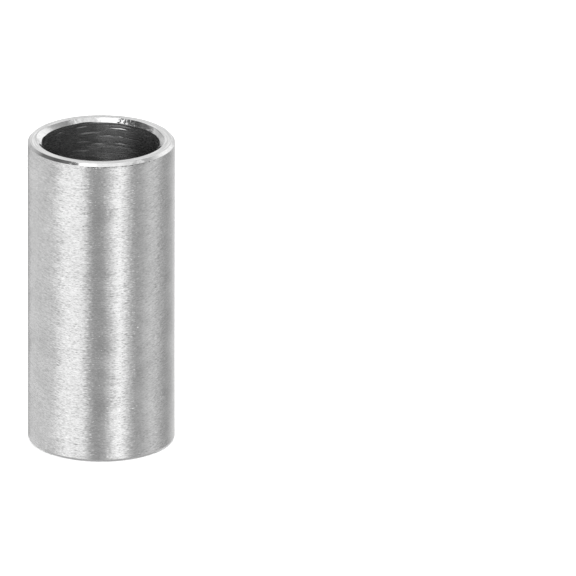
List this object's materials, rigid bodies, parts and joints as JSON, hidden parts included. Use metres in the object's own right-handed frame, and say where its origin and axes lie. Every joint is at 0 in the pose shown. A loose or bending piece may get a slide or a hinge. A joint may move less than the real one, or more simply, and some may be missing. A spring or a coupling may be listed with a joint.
{
  "type": "spacer sleeve",
  "caption": "Plain round spacer sleeve, a thin-walled turned steel tube with bevelled ends, that slips over a bolt or shaft and sets a gap.",
  "frame": {"origin": "centre of the end that the sleeve stands on", "axes": "+Z along the bore, from the end that it stands on to the upper end; X and Y across, with no preferred direction"},
  "size_m": [0.01, 0.01, 0.0215],
  "materials": {
    "steel": "fine brushing that runs around the outside, turned ends, polished bevels, bore left as bored"
  },
  "bodies": {
    "root": {"spacer_sleeve": "steel"}
  },
  "joints": []
}
